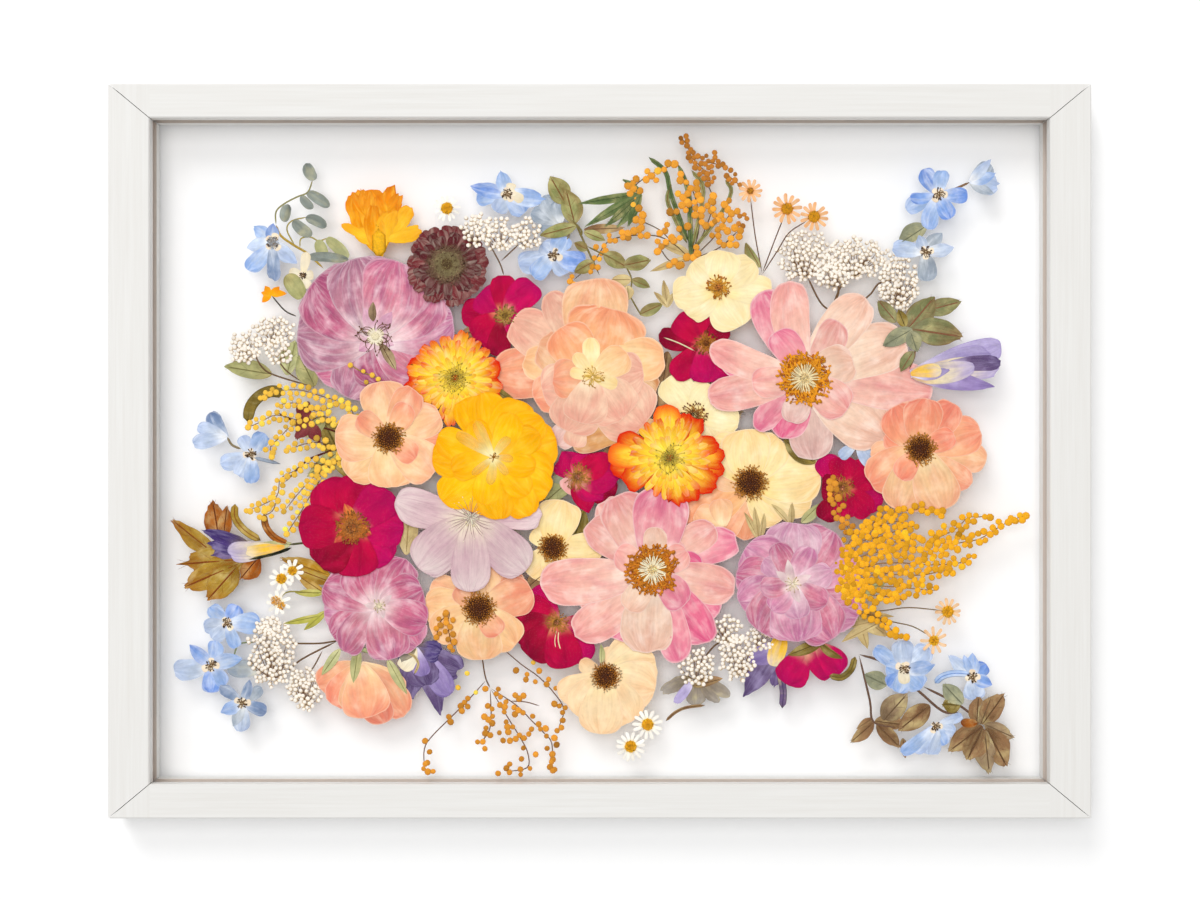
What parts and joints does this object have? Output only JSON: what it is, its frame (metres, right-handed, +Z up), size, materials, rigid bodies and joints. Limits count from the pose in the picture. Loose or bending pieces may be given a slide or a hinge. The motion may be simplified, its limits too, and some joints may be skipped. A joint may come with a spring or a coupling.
{
  "type": "pressed flower frame",
  "caption": "Mixed pressed flowers, leaves and sprigs held flat between two clear panes in a white mitred wooden wall frame.",
  "frame": {"origin": "point on the wall plane where the middle notch of the hanger rests on the wall's nail", "axes": "+X to the right along the wall, -Y out of the wall towards the viewer, +Z up"},
  "size_m": [0.487, 0.0263, 0.364],
  "materials": {
    "painted_wood": "off-white paint, satin, faint grain",
    "glass": "clear",
    "hanger_metal": "brassed steel, stamped",
    "blue_petals": "dried petals, matt, slightly sheer",
    "mauve_petals": "dried petals, matt, streaked",
    "crimson_petals": "dried petals, matt, veined",
    "maroon_bracts": "dried bracts, papery",
    "pink_petals": "dried petals, sheer, crinkled",
    "peach_petals": "dried petals, matt, crinkled",
    "cream_petals": "dried petals, matt, finely veined",
    "orange_petals": "dried petals, matt",
    "yellow_petals": "dried petals, matt",
    "purple_petals": "dried petals, matt, crumpled",
    "golden_beads": "small fluffy balls on brown stems",
    "white_beads": "tiny buds on brown stems",
    "daisy_petals": "dried petals round a golden disc",
    "leaves": "dried leaves, matt, veined"
  },
  "bodies": {
    "root": {"rail_top": "painted_wood", "rail_left": "painted_wood", "rail_bottom": "painted_wood", "rail_right": "painted_wood", "glass_back": "glass", "glass_front": "glass", "hanger": "hanger_metal", "delphinium_upper_left": "blue_petals", "delphinium_left": "blue_petals", "delphinium_lower_left": "blue_petals", "delphinium_top": "blue_petals", "delphinium_upper_right": "blue_petals", "mauve_bloom_upper_left": "mauve_petals", "mauve_bloom_lower_left": "mauve_petals", "mauve_bloom_right": "mauve_petals", "crimson_bloom_left": "crimson_petals", "crimson_bloom_centre": "crimson_petals", "crimson_rose_top": "crimson_petals", "crimson_rose_middle": "crimson_petals", "crimson_bloom_right": "crimson_petals", "crimson_bloom_lower": "crimson_petals", "maroon_scabiosa": "maroon_bracts", "blush_cosmos": "pink_petals", "peony_upper": "pink_petals", "peony_lower": "pink_petals", "peach_rose_left": "peach_petals", "peach_rose_lower": "peach_petals", "garden_rose": "peach_petals", "coral_rose_right": "peach_petals", "peach_bud": "peach_petals", "cream_bloom_centre": "cream_petals", "cream_bloom_top": "cream_petals", "cream_bloom_middle": "cream_petals", "buttercream_bloom": "cream_petals", "cream_bloom_lower": "cream_petals", "daffodil": "orange_petals", "flame_mum_left": "orange_petals", "flame_mum_middle": "orange_petals", "yellow_bloom": "yellow_petals", "iris_lower_left": "purple_petals", "iris_lower_right": "purple_petals", "freesia_right": "purple_petals", "mimosa_left": "golden_beads", "mimosa_top": "golden_beads", "mimosa_right": "golden_beads", "mimosa_lower": "golden_beads", "rice_flower_left": "white_beads", "rice_flower_lower_left": "white_beads", "rice_flower_top": "white_beads", "rice_flower_top_right": "white_beads", "rice_flower_lower_right": "white_beads", "feverfew_sprig": "daisy_petals", "daisy_top": "daisy_petals", "daisy_spray_top": "daisy_petals", "daisy_pair": "daisy_petals", "daisy_spray_right": "daisy_petals", "iris_left": "leaves", "leaf_sprig_top": "leaves", "leaf_spray_right": "leaves", "delphinium_lower_right": "leaves"}
  },
  "joints": []
}
